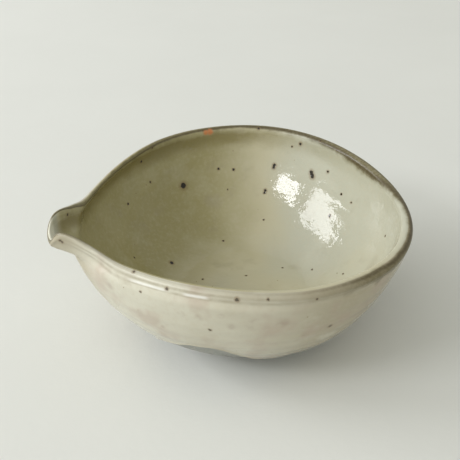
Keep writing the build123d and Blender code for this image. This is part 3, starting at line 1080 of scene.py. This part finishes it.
def glaze_material(name, look, specks, flashes, smudges=()):
    """The semi-opaque ash glaze: clouded, thin and brown on the rim, pooled olive under it,
    with iron specks that have bled a little. Only the outside has smudges."""
    material = bpy.data.materials.new(name)
    s = Shader(material)
    inside = not smudges
    place = s.node("TexCoord").outputs["Object"]
    axes = s.node("SeparateXYZ", {"Vector": place}).outputs
    beyond = s.mask("beyond")
    wide, cloud, ragged = (s.noise(place, *pattern) for pattern in (WIDE_DRIFTS, CLOUDS, RAGGED))

    # Clouds of colour, from wide drifts to fine mottling, and faint smoke from the kiln.
    colour = glaze_ground(s, wide, inside)
    colour = s.mix(s.step(cloud, *CLOUD_STEP, 0.0, look["clouds"]), colour, PALE)
    colour = s.mix(s.step(s.noise(place, *MOTTLING), *MOTTLING_STEP), colour, BEIGE)
    smoke = s.step(s.noise(place, *KILN_SMOKE), *KILN_SMOKE_STEP, 0.0, look["smoke"])
    colour = s.mix(smoke, colour, SMOKE_AND_SHADE_TONE)
    if not inside:
        colour = smoked(s, place, colour, smudges)

    # Glaze that ran down from the rim pools in a darker band under it. Outside, the rim itself
    # is darker on the near side, partly from smoke and partly as painted shade, by the same mask.
    depth = s.math("SUBTRACT", s.math("MULTIPLY_ADD", ragged, POOL_RAGGED, -POOL_RAGGED / 2), beyond)
    band = s.times(s.step(depth, *POOL_TOP_STEP), s.step(depth, *POOL_FOOT_STEP))
    colour = s.mix(s.times(band, s.times(s.mask("pool"), POOL_DARKNESS)), colour, OLIVE)
    if not inside:
        crest = s.times(s.step(s.off(beyond, CREST_PLACE), *CREST_STEP), s.mask("smoke_and_shade"))
        colour = s.mix(s.times(crest, CREST_SMOKE_AND_SHADE), colour, SMOKE_AND_SHADE_TONE)

    colour, thin = rim_line(s, place, colour, ragged)
    below_rim = s.math("MULTIPLY_ADD", wide, LINE_WANDER, beyond)
    colour = grooved(s, place, colour, below_rim, axes["X"])

    # Specks and pits are ragged, because their places are warped.
    warp = s.node("TexNoise", {"Vector": place, "Scale": WARP_SCALE, "Detail": 2.0}).outputs["Color"]
    push = {0: s.vector("SUBTRACT", warp, (0.5, 0.5, 0.5)), "Scale": WARP_REACH}
    push = s.node("VectorMath", push, operation="SCALE").outputs["Vector"]
    warped = s.vector("ADD", place, push)
    colour = random_specks(s, warped, colour, None if inside else axes["Y"])
    field = speck_field(s, warped, specks)
    dark = s.step(field, *SPECK_STEP, 0.0, look["specks"])
    colour = s.mix(s.step(field, *HALO_STEP), colour, RUST)
    colour = s.mix(dark, colour, IRON)
    colour = s.mix(s.step(speck_field(s, warped, flashes), *FLASH_STEP), colour, FLASH)

    # A faint orange peel, pinholes and dimples over the specks. The gloss is duller on the rim
    # and, outside, beside the spout.
    peel, waves = s.noise(place, *ORANGE_PEEL), s.noise(place, *SOFT_WAVES)
    pits = s.node("TexVoronoi", {"Vector": warped, "Scale": PIT_SCALE}).outputs["Distance"]
    height = s.math("MULTIPLY_ADD", peel, PEEL_HEIGHT, s.times(waves, WAVE_HEIGHT))
    height = s.math("MULTIPLY_ADD", s.step(pits, *PIT_STEP), PIT_HEIGHT, height)
    height = s.math("MULTIPLY_ADD", dark, -DIMPLE_HEIGHT, height)
    rough = s.math("ADD", s.step(cloud, *GLOSS_STEP), s.times(thin, THIN_ROUGH))
    rough = s.math("MAXIMUM", rough, s.step(s.math("ABSOLUTE", beyond), *RIM_GLOSS_STEP))
    if not inside:
        rough = s.math("MAXIMUM", rough, s.step(axes["X"], *SPOUT_GLOSS_STEP))
    s.end(colour, rough, height, RELIEF, look["dimples"]).inputs["IOR"].default_value = GLAZE_IOR
    return material


def clay_material(name, tone):
    """Bare grey stoneware with grog, finger-wide drifts and dark iron grains."""
    material = bpy.data.materials.new(name)
    s = Shader(material)
    place = s.node("TexCoord").outputs["Object"]
    shades = (tuple(shade * c for c in tone) for shade in CLAY_SHADES)
    colour = s.mix(s.noise(place, *CLAY_DRIFTS), *shades)
    distance, random = s.cells(place, GRAIN_SCALE)
    spot = s.times(s.step(distance, *GRAIN_STEP), s.math("LESS_THAN", random[0], GRAIN_SHARE))
    colour = s.mix(s.times(spot, GRAIN_DARKNESS), colour, GRAIN)
    few = s.math("GREATER_THAN", random[0], 1 - GROG_SHARE)
    colour = s.mix(s.times(s.times(s.step(distance, *GROG_STEP), few), GROG_PALENESS), colour, GROG)
    waves = s.times(s.noise(place, CLAY_WAVES), CLAY_WAVE_HEIGHT)
    height = s.math("ADD", s.noise(place, *CLAY_GRIT), waves)
    rough = s.step(s.noise(place, CLAY_PATCHES), *CLAY_ROUGH_STEP)
    s.end(colour, rough, height, RELIEF, CLAY_RELIEF)
    return material


flashes, smudges = placed(lining, FLASH_SPOTS), placed(coat, SMUDGES)
specks = placed(lining, INSIDE_SPECKS)
inside_glaze = glaze_material("ash_glaze_inside", INSIDE_LOOK, specks, flashes)
specks = placed(coat, OUTSIDE_SPECKS)
outside_glaze = glaze_material("ash_glaze_outside", OUTSIDE_LOOK, specks, flashes, smudges)
for piece, material in (
    (lining, inside_glaze),
    (coat, outside_glaze),
    (bowl, clay_material("stoneware", BODY_CLAY)),
    (ring, clay_material("stoneware_foot", FOOT_CLAY)),
):
    piece.data.materials.append(material)

# A plain pale floor.
floor = in_scene("floor", bpy.data.meshes.new("floor"))
corners = [(FLOOR_REACH * x, FLOOR_REACH * y, 0) for x, y in ((-1, -1), (1, -1), (1, 1), (-1, 1))]
floor.data.from_pydata(corners, [], [(0, 1, 2, 3)])
floor_material = bpy.data.materials.new("pale_floor")
s = Shader(floor_material)
place = s.node("TexCoord").outputs["Object"]
colour = s.mix(s.noise(place, *FLOOR_CLOUDS), *FLOOR_SHADES)
s.end(colour, FLOOR_ROUGH, s.noise(place, *FLOOR_GRAIN), FLOOR_GRAIN_HEIGHT, FLOOR_RELIEF)
floor.data.materials.append(floor_material)

# The pale room is brightest round the windows.
world = bpy.data.worlds.new("soft_room")
bpy.context.scene.world = world
s = Shader(world)
turn, lift = math.radians(GLOW_AZIMUTH), math.radians(GLOW_ELEVATION)
to_glow = (-math.sin(turn) * math.cos(lift), math.cos(turn) * math.cos(lift), math.sin(lift))
facing = s.vector("DOT_PRODUCT", s.node("TexCoord").outputs["Generated"], to_glow)
strength = s.step(facing, *GLOW_STEP)
background = s.node("Background", {"Color": (*ROOM, 1.0), "Strength": strength})
s.node("OutputWorld", {"Surface": background.outputs[0]})


def window(name, first, last, low, high, radiance):
    """An evenly bright window, as a lamp, between two azimuths and two heights of the wall."""
    turn = math.radians(WALL_AZIMUTH)
    square = Vector((-math.sin(turn), math.cos(turn), 0))
    along = Vector((math.cos(turn), math.sin(turn), 0))
    start, end = (math.tan(math.radians(WALL_AZIMUTH - azimuth)) for azimuth in (first, last))
    middle = square + along * (start + end) / 2 + Vector((0, 0, (low + high) / 2))
    width, height = end - start, high - low
    data = bpy.data.lights.new(name, "AREA")
    data.shape = "RECTANGLE"
    data.size, data.size_y, data.energy = width, height, radiance * math.pi * width * height
    data.color = DAYLIGHT
    lamp = in_scene(name, data)
    lamp.location = middle
    lamp.rotation_mode = "QUATERNION"
    lamp.rotation_quaternion = square.to_track_quat("Z", "Y")


for values in WINDOWS:
    window(*values)

bpy.context.scene.view_settings.view_transform = "Standard"
